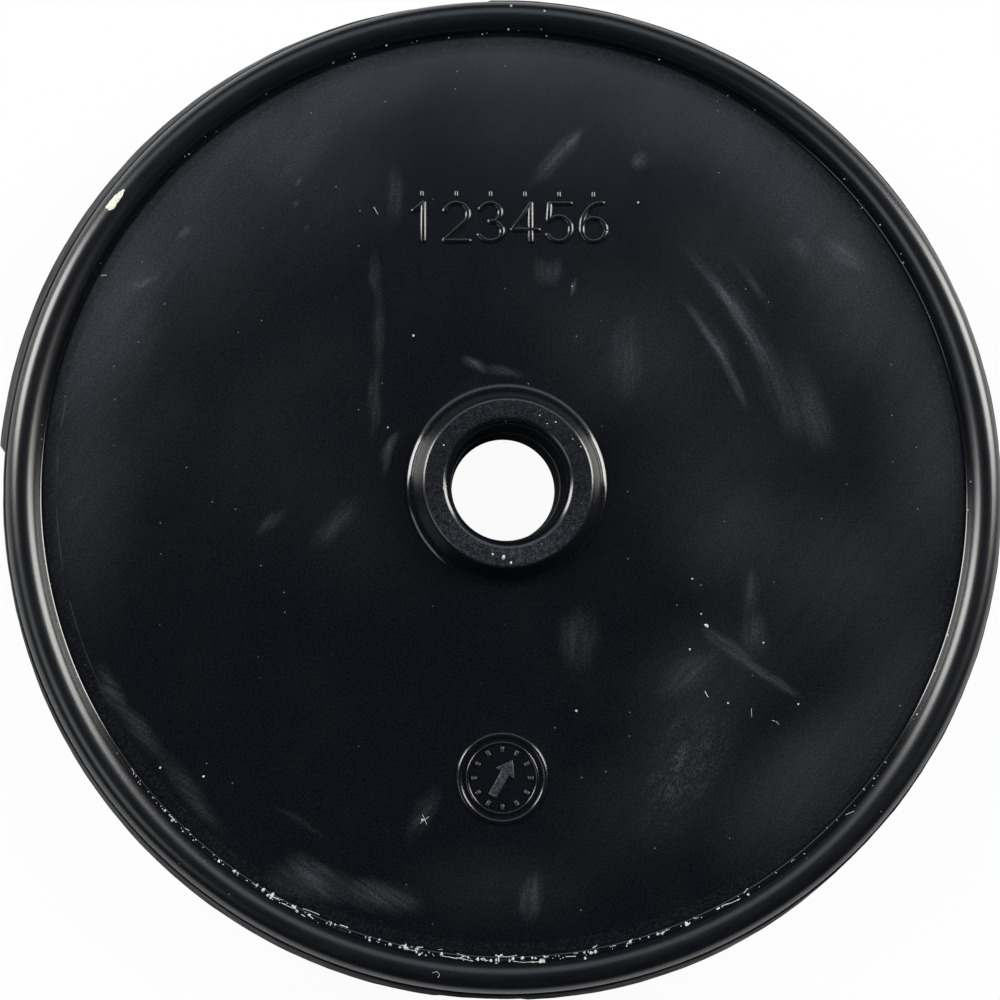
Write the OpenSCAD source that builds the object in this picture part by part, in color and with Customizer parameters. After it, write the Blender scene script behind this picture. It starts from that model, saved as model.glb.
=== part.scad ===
/* [Disc] */
// Diameter over the edge bead, without the flash
outer_d = 94; // [70:1:140]
// Thickness of the flat web between hub and bead
web_t = 3.4; // [2.4:0.1:4.2]

/* [Edge bead] */
// Width of the bead, measured along the radius
bead_w = 3.3; // [2.8:0.1:4]
// Height of the bead, measured across both faces
bead_h = 6.4; // [5.6:0.1:7.4]
// Hollow round where the bead grows out of the web
bead_foot_r = 0.35; // [0.2:0.05:0.6]

/* [Hub] */
// Height of the hub, measured across both faces
hub_h = 9.2; // [7:0.1:12]
// Diameter of the hub's flat faces at their outer corner
hub_face_d = 15.9; // [14.6:0.1:17.4]
// Diameter of the hub's flank where it meets the web
hub_root_d = 18.1; // [17.6:0.1:22]
// Round on the outer corner of the hub's faces
hub_corner_r = 0.5; // [0.2:0.05:0.7]
// Hollow round at the root of the hub
hub_foot_r = 0.9; // [0.4:0.05:1.2]

/* [Bore] */
// Diameter of the straight lower half of the bore
bore_d = 10; // [8:0.1:10.6]
// How much wider the upper half starts at the parting line
bore_step = 0.2; // [0.1:0.05:0.4]
// How much wider the upper half is under its rounded lip
bore_draft = 1; // [0.5:0.05:1.1]
// Round of the upper lip of the bore
upper_lip_r = 0.8; // [0.4:0.05:0.9]
// Round of the lower lip of the bore
lower_lip_r = 0.4; // [0.2:0.05:0.7]

/* [Flash] */
// Thickness of the flash left at the parting line
flash_t = 0.24; // [0.15:0.01:0.4]
// Width of the flash all round the bead
flash_w = 0.45; // [0.3:0.05:0.6]
// Widest reach of the torn flash past the bead
flash_reach = 1.05; // [0.9:0.05:1.5]

/* [Hidden] */

rubber_colour = [0.09, 0.1, 0.12];
round_fn = 180;
arc_fn = 48;

outer_r = outer_d / 2;
web_half = web_t / 2;
hub_half = hub_h / 2;
hub_face_r = hub_face_d / 2;
hub_root_r = hub_root_d / 2;
bore_r = bore_d / 2;

// The bead's section is a round on each face with a straight side between
bead_a = bead_w / 2;
bead_mid_r = outer_r - bead_a;
bead_arc_z = bead_h / 2 - bead_a;

// Place of the hollow round that touches both the web and the bead
bead_foot_z = web_half + bead_foot_r;
bead_foot_drop = max(bead_foot_z - bead_arc_z, 0);
bead_foot_x = bead_mid_r - sqrt((bead_a + bead_foot_r) ^ 2 - bead_foot_drop ^ 2);
bead_foot_turn = atan2(bead_foot_drop, bead_mid_r - bead_foot_x);

// Slope of the hub's flank, measured from the web
flank = atan2(hub_half - web_half, hub_root_r - hub_face_r);
corner_x = hub_face_r - hub_corner_r * tan(flank / 2);
foot_x = hub_root_r + hub_foot_r * tan(flank / 2);

// The upper half of the bore widens from the parting line to the lip
bore_step_r = bore_r + bore_step / 2;
bore_top_r = bore_r + bore_draft / 2;
upper_lip_z = hub_half - upper_lip_r;
lower_lip_z = hub_half - lower_lip_r;

// Stretches of flash that stand out further: first angle, last angle, widest angle,
// share of the widest reach, and how far the cut's centre is off
flash_lobes = [
    [3, 92, 65, 0.65, 0.35],
    [92, 176, 155, 1.0, 1.3],
    [176, 273, 250, 0.7, 0.65],
    [273, 312, 286, 0.72, 3.0]
];

// A point at a given distance and angle from the origin
function at(r, angle) = [r * cos(angle), r * sin(angle)];

// One face's half of the bead, with the hollow round at its foot
module bead_section() {
    translate([bead_mid_r, bead_arc_z]) circle(r = bead_a, $fn = arc_fn);
    translate([bead_mid_r - bead_a, 0]) square([bead_w, bead_arc_z]);
    difference() {
        polygon([
            [bead_foot_x, 0],
            [bead_foot_x, web_half],
            [bead_foot_x, bead_foot_z] + at(bead_foot_r, -bead_foot_turn),
            [bead_mid_r, bead_arc_z],
            [bead_mid_r, 0]
        ]);
        translate([bead_foot_x, bead_foot_z]) circle(r = bead_foot_r, $fn = arc_fn);
    }
}

// One face's half of the hub from a given inner radius, without the lip
module hub_section(inner_r) {
    corner = [corner_x, hub_half - hub_corner_r];
    foot = [foot_x, web_half + hub_foot_r];
    difference() {
        union() {
            polygon([
                [inner_r, 0],
                [inner_r, hub_half],
                [corner_x, hub_half],
                corner + at(hub_corner_r, 90 - flank),
                foot - at(hub_foot_r, 90 - flank),
                [foot_x, web_half],
                [foot_x, 0]
            ]);
            translate(corner) circle(r = hub_corner_r, $fn = arc_fn);
        }
        translate(foot) circle(r = hub_foot_r, $fn = arc_fn);
    }
}

// What is cut from a face's corner to leave its lip round
module lip_cut(wall_r, lip_r) {
    difference() {
        translate([0, hub_half - lip_r]) square([wall_r + lip_r, 2 * lip_r]);
        translate([wall_r + lip_r, hub_half - lip_r]) circle(r = lip_r, $fn = arc_fn);
    }
}

// Upper half of the section: web, bead, hub and the widened bore
module upper_section() {
    bead_section();
    translate([hub_face_r, 0]) square([bead_mid_r - hub_face_r, web_half]);
    difference() {
        hub_section(bore_r);
        polygon([
            [0, 0],
            [bore_step_r, 0],
            [bore_top_r, upper_lip_z],
            [0, upper_lip_z]
        ]);
        lip_cut(bore_top_r, upper_lip_r);
    }
}

// Lower half of the section, drawn face up: web, bead, hub and straight bore
module lower_section() {
    bead_section();
    translate([hub_face_r, 0]) square([bead_mid_r - hub_face_r, web_half]);
    difference() {
        hub_section(bore_r);
        lip_cut(bore_r, lower_lip_r);
    }
}

// Wedge that keeps the part of a flat shape between two angles
module wedge(first, last) {
    middle = (first + last) / 2;
    polygon([
        [0, 0],
        at(2 * outer_r, first),
        at(2 * outer_r, middle),
        at(2 * outer_r, last)
    ]);
}

// Thin fin of rubber at the parting line, left wider in four stretches
module flash() {
    translate([0, 0, -flash_t / 2]) linear_extrude(flash_t) difference() {
        union() {
            circle(r = outer_r + flash_w, $fn = round_fn);
            for (lobe = flash_lobes) {
                intersection() {
                    translate(at(lobe[4], lobe[2]))
                        circle(r = outer_r + flash_reach * lobe[3] - lobe[4], $fn = round_fn);
                    wedge(lobe[0], lobe[1]);
                }
            }
        }
        circle(r = bead_mid_r, $fn = round_fn);
    }
}

// The whole moulding: one piece of rubber, turned from its two half sections
module diaphragm() {
    color(rubber_colour) union() {
        rotate_extrude($fn = round_fn) upper_section();
        mirror([0, 0, 1]) rotate_extrude($fn = round_fn) lower_section();
        flash();
    }
}

diaphragm();
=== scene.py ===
# %% [markdown]
# # A moulded rubber diaphragm
#
# The part is one piece of black rubber: a flat web, a round bead at the rim, a
# hub with a bore in the middle, and a torn fin of flash at the mould's parting
# line. The packed CAD model gives its place and size. This file gives it its
# looks: a finer mesh of the same form, the raised marks, the surface of used
# rubber with its haze and scuffs, and the crumbs, fibres and flake that lie on it.

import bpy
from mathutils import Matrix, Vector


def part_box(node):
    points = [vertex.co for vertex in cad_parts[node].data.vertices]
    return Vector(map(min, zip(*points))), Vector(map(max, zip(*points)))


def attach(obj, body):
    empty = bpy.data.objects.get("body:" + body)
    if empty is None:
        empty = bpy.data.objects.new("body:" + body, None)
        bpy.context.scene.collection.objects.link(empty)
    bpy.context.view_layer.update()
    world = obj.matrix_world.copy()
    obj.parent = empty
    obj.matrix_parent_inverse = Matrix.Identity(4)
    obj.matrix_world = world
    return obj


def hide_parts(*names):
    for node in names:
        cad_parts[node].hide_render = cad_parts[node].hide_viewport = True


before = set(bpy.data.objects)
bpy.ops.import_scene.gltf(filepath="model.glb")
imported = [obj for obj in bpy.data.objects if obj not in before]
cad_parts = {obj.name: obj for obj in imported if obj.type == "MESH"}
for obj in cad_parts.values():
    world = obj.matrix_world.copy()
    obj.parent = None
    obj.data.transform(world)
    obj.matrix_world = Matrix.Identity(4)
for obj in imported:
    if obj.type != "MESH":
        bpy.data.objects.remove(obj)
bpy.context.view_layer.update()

# %% Other modules and units
import math
import random

import bmesh
import bpy
from mathutils import Matrix, Vector

MM = 0.001
NODE = "diaphragm"
BODY = "root"
floor_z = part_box(NODE)[0][2]

# %% [markdown]
# ## Camera
#
# The photograph looks almost straight down. The rings of the hub shift a
# little against each other, which tells how far the camera leans and how near
# it stands. The camera looks at the middle of the bore, and a small lens shift
# puts that point where the photograph has it.

# %% Camera
photo_px = 1000
photo_px_per_mm = 10.519
camera_far = 180 * MM
place_compass = 238.2
place_lean = 6.61
aim_compass = 255.4
aim_lean = 5.97
centre_px = (440.3, 481.5)


def leaning(compass, lean):
    """Unit vector that leans off the vertical towards a compass angle from +X."""
    turn = math.radians(compass)
    off = math.sin(math.radians(lean))
    return Vector((off * math.cos(turn), off * math.sin(turn), math.cos(math.radians(lean))))


def place_camera():
    """Makes the camera at the photograph's viewing angle."""
    camera = bpy.data.objects.new("camera", bpy.data.cameras.new("camera"))
    bpy.context.collection.objects.link(camera)
    bpy.context.scene.camera = camera
    back = leaning(aim_compass, aim_lean)
    right = Vector((0, 1, 0)).cross(back).normalized()
    up = back.cross(right)
    turn = Matrix((right, up, back)).transposed().to_4x4()
    place = leaning(place_compass, place_lean) * camera_far
    camera.matrix_world = Matrix.Translation(place) @ turn
    data = camera.data
    data.lens = data.sensor_width * photo_px_per_mm * camera_far / MM / photo_px
    data.shift_x = 0.5 - centre_px[0] / photo_px
    data.shift_y = centre_px[1] / photo_px - 0.5
    data.clip_start = 5 * MM
    return camera


camera = place_camera()
print("lens in mm:", round(camera.data.lens, 1))

# %% [markdown]
# ## Shader sums
#
# A socket wrapped in a small class can stand in a Python sum, so a mask is
# written as `1 - a * b` and the Math nodes make themselves. The alternative is
# to place and link each node by hand, which hides what the sum means.

# %% Wire class


class Wire:
    """A shader socket that takes part in Python sums."""

    def __init__(self, tree, socket):
        self.tree = tree
        self.socket = socket

    def node(self, kind, plugs, out=0, **settings):
        """Adds a node of a kind, with its settings first and then its inputs."""
        made = self.tree.nodes.new("ShaderNode" + kind)
        for name, value in settings.items():
            setattr(made, name, value)
        for name, value in plugs.items():
            if isinstance(value, Wire):
                self.tree.links.new(value.socket, made.inputs[name])
            else:
                made.inputs[name].default_value = value
        return Wire(self.tree, made.outputs[out])

    def other(self, out):
        """Another output of the node that this wire comes from."""
        return Wire(self.tree, self.socket.node.outputs[out])

    def maths(self, operation, *values):
        """A Math node on numbers and sockets."""
        return self.node("Math", dict(enumerate(values)), operation=operation)

    def vector(self, operation, *values, out=0):
        """A Vector Math node on vectors and sockets."""
        return self.node("VectorMath", dict(enumerate(values)), out=out, operation=operation)

    def __add__(self, other):
        return self.maths("ADD", self, other)

    __radd__ = __add__

    def __sub__(self, other):
        return self.maths("SUBTRACT", self, other)

    def __rsub__(self, other):
        return self.maths("SUBTRACT", other, self)

    def __mul__(self, other):
        return self.maths("MULTIPLY", self, other)

    __rmul__ = __mul__

    def root(self):
        """The square root."""
        return self.maths("SQRT", self)

    def above(self, low, high):
        """0 below low, 1 above high, and a smooth step between."""
        plugs = {"Value": self, "From Min": low, "From Max": high}
        return self.node("MapRange", plugs, interpolation_type="SMOOTHSTEP")

    def below(self, low, high):
        """1 below low, 0 above high, and a smooth step between."""
        return 1 - self.above(low, high)

    def between(self, low, high, soft):
        """1 from low to high, and 0 further off than the soft edges."""
        return self.above(low - soft, low) * self.below(high, high + soft)

    def parts(self):
        """The three numbers of a vector."""
        split = self.node("SeparateXYZ", {"Vector": self})
        return split, split.other(1), split.other(2)

    def polar(self):
        """The distance from the Z axis and the angle round it, of a vector."""
        x, y, z = self.parts()
        return (x * x + y * y).root(), y.maths("ARCTAN2", y, x)

    def noise(self, size, detail=2.0, rough=0.5):
        """Noise with lumps of about a given size, on a vector in millimetres."""
        plugs = {"Vector": self, "Scale": 1 / size, "Detail": detail, "Roughness": rough}
        return self.node("TexNoise", plugs)

    def turned(self, degrees, stretch):
        """The vector in a frame turned about Z, shortened along that frame's own X."""
        plugs = {"Vector": self, "Rotation": (0, 0, math.radians(degrees)), "Scale": (stretch, 1, 1)}
        return self.node("Mapping", plugs, vector_type="TEXTURE")

    def mixed(self, first, second):
        """Colour that goes from first to second as this goes from 0 to 1."""
        plugs = {"Factor": self, 6: first, 7: second}
        return self.node("Mix", plugs, out=2, data_type="RGBA", clamp_factor=True)


sums = [name for name in vars(Wire) if not name.startswith("_")]
print("what a wire can do:", ", ".join(sums))

# %% [markdown]
# Every material starts in the same way: a Principled shader, and the place on
# the part in millimetres. Object coordinates fit here, because the part's
# marks have their places on the part and no texture is wrapped round it.

# %% Material start


def new_material(name):
    """A material with a Principled shader: returns it, the shader and its place in mm."""
    material = bpy.data.materials.new(name)
    material.use_nodes = True
    tree = material.node_tree
    shader = next(n for n in tree.nodes if n.type == "BSDF_PRINCIPLED")
    place = Wire(tree, tree.nodes.new("ShaderNodeTexCoord").outputs["Object"])
    return material, shader, place.vector("MULTIPLY", place, (1 / MM, 1 / MM, 1 / MM))


def plug(shader, name, value):
    """Sets or links one input of a shader."""
    if isinstance(value, Wire):
        value.tree.links.new(value.socket, shader.inputs[name])
    else:
        shader.inputs[name].default_value = value


print("one unit of a pattern is this many metres:", MM)

# %% [markdown]
# ## Room
#
# The floor and the backdrop are pale. The camera sees them white, as on the
# photograph, while lamps and shadows still fall on them. Black rubber shows
# mostly what it mirrors: two soft boxes at the left and right draw the bright
# lines on the hub and the bead, a wide and weaker one behind brightens the far
# part of the web, and the near side of the room stays dark.

# %% Floor
floor_size = 4.0
floor_white = (0.8, 0.8, 0.8, 1)
seen_white = 0.95


def white_to_the_eye(material, shader, spot):
    """Mixes plain white into a material for the camera's view."""
    tree = material.node_tree
    path = tree.nodes.new("ShaderNodeLightPath").outputs
    eye = Wire(tree, path["Is Camera Ray"])
    seen = eye.maths("MAXIMUM", eye, Wire(tree, path["Is Transmission Ray"]))
    glow = spot.node("Emission", {"Color": (1, 1, 1, 1), "Strength": 1.0})
    plugs = {0: seen * seen_white, 1: Wire(tree, shader.outputs[0]), 2: glow}
    mixed = spot.node("MixShader", plugs)
    out = next(n for n in tree.nodes if n.type == "OUTPUT_MATERIAL")
    tree.links.new(mixed.socket, out.inputs["Surface"])


def make_floor():
    """A wide pale floor under the part."""
    sheet = bmesh.new()
    bmesh.ops.create_grid(sheet, x_segments=1, y_segments=1, size=floor_size / 2)
    bmesh.ops.translate(sheet, verts=sheet.verts, vec=(0, 0, floor_z))
    mesh = bpy.data.meshes.new("floor")
    sheet.to_mesh(mesh)
    sheet.free()
    floor = bpy.data.objects.new("floor", mesh)
    bpy.context.collection.objects.link(floor)
    material, shader, spot = new_material("floor white")
    plug(shader, "Base Color", floor_white)
    plug(shader, "Roughness", 0.9)
    white_to_the_eye(material, shader, spot)
    mesh.materials.append(material)
    return floor


floor = make_floor()
print("floor at mm:", round(floor_z / MM, 2))

# %% [markdown]
# The lamps are area lamps with tints of their own. Their sizes matter more than
# their strength, because the shape of a lamp is what the rubber mirrors: a
# narrow one draws a thin line along a round, a wide one a soft band.

# %% Soft boxes
lamp_far = 0.45


def soft_box(name, compass, height, width, length, brightness, tint=(1, 1, 1)):
    """An area lamp at a compass angle and a height in degrees, aimed at the part."""
    light = bpy.data.lights.new(name, "AREA")
    light.shape = "RECTANGLE"
    light.size = width
    light.size_y = length
    light.energy = brightness * math.pi * width * length
    light.color = tint
    lamp = bpy.data.objects.new(name, light)
    bpy.context.collection.objects.link(lamp)
    away = leaning(compass, 90 - height)
    lamp.location = away * lamp_far
    lamp.rotation_euler = away.to_track_quat("Z", "Y").to_euler()
    print(name, "watts:", round(light.energy, 2))
    return lamp


soft_box("right box", 20, 30, 0.19, 0.30, 12.0, (1.0, 0.975, 0.94))
soft_box("left box", 157, 29, 0.18, 0.28, 12.0, (1.0, 0.985, 0.965))
soft_box("back box", 88, 51, 0.55, 0.25, 1.0, (0.78, 0.91, 1.0))
soft_box("near fill", 207, 46, 0.20, 0.20, 1.4, (0.95, 0.97, 1.0))

# %% [markdown]
# The rest of the room is nearly dark and a little blue, as daylight from a far
# window is. Only the camera sees it white.

# %% World
world_level = 0.03
room_tint = (0.80, 0.96, 1.22, 1)


def make_world():
    """A dim room for the rubber to mirror, white where the camera sees it."""
    world = bpy.data.worlds.new("room")
    bpy.context.scene.world = world
    world.use_nodes = True
    tree = world.node_tree
    eye = Wire(tree, tree.nodes.new("ShaderNodeLightPath").outputs["Is Camera Ray"])
    background = tree.nodes["Background"]
    seen = eye.mixed(room_tint, (1, 1, 1, 1))
    level = eye * (1 - world_level) + world_level
    tree.links.new(seen.socket, background.inputs["Color"])
    tree.links.new(level.socket, background.inputs["Strength"])


make_world()
bpy.context.scene.view_settings.view_transform = "Standard"
print("world strength off camera:", world_level)

# %% [markdown]
# ## The moulding
#
# The body is a section turned round the bore's axis, as the mould's cavity was
# turned on a lathe. The section is drawn with true arcs and spun in fine
# steps, so the thin highlights along its rounds stay clean. A bevel on a
# stack of cylinders would give the same rounds, but not the hollow ones where
# the hub and the bead grow out of the web.

# %% Sizes of the section, in mm
outer_r = 47.0
web_half = 1.7
bead_a = 1.65
bead_half = 3.2
bead_foot_r = 0.35
hub_half = 4.6
hub_face_r = 7.95
hub_root_r = 9.05
hub_corner_r = 0.5
hub_foot_r = 0.9
bore_r = 5.0
bore_mid_r = 5.17
bore_step_r = 5.22
bore_top_r = 5.5
upper_lip_r = 0.8
lower_lip_r = 0.4
flash_t = 0.24
flash_w = 0.45
flash_reach = 1.05
crease = 0.13
web_rings = 20
print("height over both hub faces in mm:", 2 * hub_half)

# %% [markdown]
# Each round is an arc between two straight lines, so its centre and its ends
# follow from the slopes. The web is flat, and yet it gets rings of points, as
# the haze is kept at the points of the mesh further down.

# %% Arcs of the section


def oval_arc(centre, radii, start, end, steps=20):
    """Points along an oval arc, from one angle in degrees to another."""
    turns = [math.radians(start + (end - start) * i / steps) for i in range(steps + 1)]
    return [(centre[0] + radii[0] * math.cos(t), centre[1] + radii[1] * math.sin(t)) for t in turns]


def arc(centre, radius, start, end, steps):
    """Points along a round arc."""
    return oval_arc(centre, (radius, radius), start, end, steps)


def hub_and_bead():
    """One face's outline, from the hub's flat face to the bead's side."""
    flank = math.degrees(math.atan2(hub_half - web_half, hub_root_r - hub_face_r))
    half_tan = math.tan(math.radians(flank / 2))
    corner = (hub_face_r - hub_corner_r * half_tan, hub_half - hub_corner_r)
    foot = (hub_root_r + hub_foot_r * half_tan, web_half + hub_foot_r)
    bead = (outer_r - bead_a, bead_half - bead_a)
    drop = web_half + bead_foot_r - bead[1]
    foot_off = math.sqrt((bead_a + bead_foot_r) ** 2 - drop**2)
    bead_foot = (bead[0] - foot_off, web_half + bead_foot_r)
    bead_turn = math.degrees(math.atan2(drop, bead[0] - bead_foot[0]))
    outline = arc(corner, hub_corner_r, 90, 90 - flank, 7)
    outline += arc(foot, hub_foot_r, 270 - flank, 270, 9)
    across = bead_foot[0] - foot[0]
    outline += [(foot[0] + across * i / web_rings, web_half) for i in range(1, web_rings)]
    outline += arc(bead_foot, bead_foot_r, 270, 360 - bead_turn, 6)
    crown = arc(bead, bead_a, 180 - bead_turn, 0, 26)[1:]
    drawn_in = 1 - crease / bead_a
    return outline + [(min(r, bead[0] + (r - bead[0]) * drawn_in), z) for r, z in crown]


def lip(wall_r, radius):
    """The round between the bore's wall and the hub's face."""
    return arc((wall_r + radius, hub_half - radius), radius, 180, 90, 8)


print("points on one face:", len(hub_and_bead()))

# %% [markdown]
# The mould closed at mid height. It left a thin fin of flash outside the bead,
# with a dark crease where the two meet, so the bead's outer side is drawn in by
# the crease's width. It also left a small trimmed ridge half-way down the bore,
# where its upper half is a little wider than its lower half. Both halves widen a
# little upwards, as a mould's pin does, so that the part comes off it.

# %% Whole section
ridge_up = 0.12
ridge_in = 0.03


def whole_section():
    """The closed outline of the section: upper face outwards, lower face back."""
    ridge_r = bore_mid_r - ridge_in
    ridge = [(ridge_r, -ridge_up / 2), (ridge_r, ridge_up / 3), (bore_step_r, ridge_up)]
    upper = lip(bore_top_r, upper_lip_r) + hub_and_bead()
    lower = lip(bore_r, lower_lip_r) + hub_and_bead()
    flash = [
        (outer_r - crease, flash_t / 2),
        (outer_r + flash_w, flash_t / 3),
        (outer_r + flash_w, -flash_t / 3),
        (outer_r - crease, -flash_t / 2),
    ]
    below = [(r, -z) for r, z in reversed(lower)]
    return ridge + upper + flash + below + [(bore_mid_r, -ridge_up)]


section = whole_section()
print("points in the section:", len(section))

# %% [markdown]
# ## Flash
#
# Flash is torn off by hand, so its edge is never an even circle. Here the fin
# stands out further in four stretches, one of which ends in a step where the
# tear gave way. Each stretch is a cut on a circle a little off centre, and a
# small wave of a few sines roughens the edge. That is steadier than random
# numbers and looks the same in every run.

# %% Torn edge
flash_lobes = (
    (3, 92, 65, 0.65, 0.35),
    (92, 176, 155, 1.0, 1.3),
    (176, 273, 250, 0.7, 0.65),
    (273, 312, 286, 0.72, 3.0),
)
torn_bit = (262, 272, 0.1)
edge_wave = 0.03
lobe_wave = 0.02


def lobe_edge(angle, peak, share, off):
    """Distance from the axis to an off-centre cut, at an angle in degrees."""
    turn = math.radians(angle - peak)
    cut = outer_r + flash_reach * share - off
    return off * math.cos(turn) + math.sqrt(cut**2 - (off * math.sin(turn)) ** 2)


def ragged(angle):
    """A small uneven wave round the rim, from -1 to 1."""
    t = math.radians(angle)
    wave = math.sin(37 * t + 1.3) + 0.7 * math.sin(71 * t + 0.4) + 0.6 * math.sin(143 * t)
    return wave / 2.3


def flash_edge(angle):
    """Distance from the axis to the flash's edge, at an angle in degrees."""
    edge = outer_r + flash_w + edge_wave * ragged(angle)
    for first, last, peak, share, off in flash_lobes:
        if first <= angle < last:
            edge = max(edge, lobe_edge(angle, peak, share, off) + lobe_wave * ragged(angle))
    if torn_bit[0] <= angle < torn_bit[1]:
        edge = edge - torn_bit[2]
    return edge


print("flash at its widest in mm:", round(flash_edge(155) - outer_r, 2))

# %% [markdown]
# ## Rubber
#
# Black rubber is almost without colour of its own. What tells it from plastic
# is the uneven sheen: a chalky haze that comes out of the rubber with time,
# scuffs where it was handled, and a very fine grain from the mould's steel.
# Each of these is a mask between 0 and 1, made where the photograph has it.
# The masks lighten the colour and roughen the surface, as real chalk does. Some
# of the lightening is painted light: sheen at the far edge of the web, the lit
# part of the flash and a highlight in the bore.
#
# A smear is an oval that fades out. A Mapping node per smear would be simple,
# but it works out its sines anew at each point of the render. The square of the
# distance in an oval is a sum of x*x, x*y, y*y, x and y, so Python works out the
# numbers once, and two dot products are all that is left for the shader.

# %% Wisps
wisp_end = 0.55
wisp_long = 1.3
wisp_wide = 1.7


def oval_terms(centre, half, degrees):
    """Numbers that turn x*x, x*y, y*y and x, y, 1 into the square of an oval's distance."""
    cos = math.cos(math.radians(degrees))
    sin = math.sin(math.radians(degrees))
    a = (cos / half[0]) ** 2 + (sin / half[1]) ** 2
    c = (sin / half[0]) ** 2 + (cos / half[1]) ** 2
    b = 2 * cos * sin * (1 / half[0] ** 2 - 1 / half[1] ** 2)
    x, y = centre
    return (a, b, c), (-2 * a * x - b * y, -2 * c * y - b * x, a * x * x + b * x * y + c * y * y)


def wisps(spot, rows):
    """The sum of long soft ovals that fade out as rubbed smears do, each with its own strength."""
    x, y, z = spot.parts()
    squares = x.node("CombineXYZ", {"X": x * x, "Y": x * y, "Z": y * y})
    firsts = x.node("CombineXYZ", {"X": x, "Y": y, "Z": 1.0})
    whole = 0
    for strength, centre, half, degrees in rows:
        second, first = oval_terms(centre, (half[0] * wisp_long, half[1] * wisp_wide), degrees)
        far = squares.vector("DOT_PRODUCT", squares, second, out=1)
        far = far + firsts.vector("DOT_PRODUCT", firsts, first, out=1)
        plugs = {"Value": far, "From Min": 0, "From Max": wisp_end}
        plugs.update({"To Min": strength**0.5, "To Max": 0})
        faded = far.node("MapRange", plugs)
        whole = faded.maths("MULTIPLY_ADD", faded, faded, whole)
    return whole


def shaken(spot, size, amount):
    """The spot, moved by a smooth random way, so that drawn edges turn uneven."""
    wave = spot.noise(size, detail=2).other(1)
    off = wave.vector("SUBTRACT", wave, (0.5, 0.5, 0.5))
    plugs = {0: off, 1: (amount, amount, 0), 2: spot}
    return off.node("VectorMath", plugs, operation="MULTIPLY_ADD")


print("numbers of a round wisp at the middle:", oval_terms((0, 0), (1, 1), 0))

# %% [markdown]
# Each row below is one patch: its strength, its centre and its half sizes in
# mm, and the angle of its long side in degrees. Most patches are chalky haze; the
# few along the far edge of the web are partly haze and partly painted sheen. The
# haze is broad and soft, so it is worked out once at each point of the mesh and
# kept there as an attribute for the material to read. Working it out in the
# shader would give the same look and take far longer.

# %% Places of the haze and of the painted sheen, in mm
haze_and_sheen_name = "haze"
haze_and_sheen_rows = (
    (0.45, (-31.0, 29.0), (24.0, 9.0), 43),
    (0.18, (-24.0, 34.0), (14.0, 6.0), 50),
    (0.50, (-15.0, 39.0), (10.0, 5.0), 60),
    (0.30, (-19.8, 32.0), (6.5, 3.5), 60),
    (0.28, (-10.5, 38.0), (7.0, 3.5), 40),
    (0.80, (-38.0, 16.0), (14.0, 7.0), 75),
    (0.47, (-40.0, 3.0), (15.0, 8.0), 95),
    (0.17, (-40.0, -8.0), (10.0, 6.0), 100),
    (0.30, (-29.0, 20.0), (13.0, 9.0), 50),
    (0.18, (-33.0, 9.0), (11.0, 5.5), 90),
    (0.26, (-18.0, 28.0), (13.0, 9.0), 45),
    # The next three rows brighten the far edge of the web: partly haze, partly painted sheen of the
    # back box.
    (0.35, (0.0, 42.0), (18.0, 6.0), 0),
    (0.10, (6.0, 34.0), (14.0, 8.0), 0),
    (0.38, (18.0, 36.0), (14.0, 8.0), -25),
    (0.46, (28.0, 28.0), (14.0, 8.0), -45),
    (0.20, (20.0, 23.0), (10.0, 8.0), -50),
    (0.46, (34.0, 18.0), (14.0, 8.0), -60),
    (0.48, (41.0, 4.0), (18.0, 8.0), 90),
    (0.28, (12.0, 13.0), (12.0, 10.0), 0),
    (0.19, (18.0, 0.0), (12.0, 9.0), 90),
    (0.29, (25.0, -6.0), (12.0, 8.0), 0),
    (0.28, (34.0, -8.0), (12.0, 8.0), 90),
    (0.32, (37.0, -18.0), (12.0, 7.0), 60),
    (0.52, (28.0, -27.0), (15.0, 7.0), 45),
    (0.33, (18.0, -19.0), (11.0, 8.0), 45),
    (0.23, (14.0, -29.0), (13.0, 8.0), 20),
    (0.19, (0.0, -37.0), (12.0, 5.0), 0),
    (0.12, (-22.0, 8.0), (20.0, 13.0), 60),
    (0.10, (-14.0, -4.0), (12.0, 10.0), 0),
    (0.09, (4.0, 18.0), (10.0, 8.0), 0),
    (0.13, (26.0, 8.0), (22.0, 14.0), 75),
    (0.15, (28.0, -14.0), (9.0, 7.0), 60),
)
print("patches of haze:", len(haze_and_sheen_rows))

# %% Haze on the mesh
haze_from_r = 9
haze_to_r = 44


def haze_and_sheen_at(x, y):
    """How much haze, and painted sheen at the far edge, lies at a place on the web."""
    whole = 0
    for strength, centre, half, degrees in haze_and_sheen_rows:
        off = Vector((x - centre[0], y - centre[1]))
        turn = math.radians(degrees)
        along = (off.x * math.cos(turn) + off.y * math.sin(turn)) / half[0]
        across = (off.y * math.cos(turn) - off.x * math.sin(turn)) / half[1]
        far = min(math.hypot(along, across), 1)
        whole += strength * (1 - far * far * (3 - 2 * far))
    return whole


def lay_haze_and_sheen(mesh):
    """Keeps the haze and painted sheen at each point of the upper web and of what stands on it."""
    layer = mesh.attributes.new(haze_and_sheen_name, "FLOAT", "POINT")
    for vert, slot in zip(mesh.vertices, layer.data):
        reach = vert.co.xy.length / MM
        if vert.co.z > 0 and haze_from_r < reach < haze_to_r:
            slot.value = haze_and_sheen_at(vert.co.x / MM, vert.co.y / MM)


print("haze beside the hub:", round(haze_and_sheen_at(12, 0), 3))

# %% [markdown]
# The smears are thin, and are kept in three groups by the way they run, because
# the fibres inside a smear run along it. The hatched patch at the lower right
# is a field of short scratches.

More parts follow.
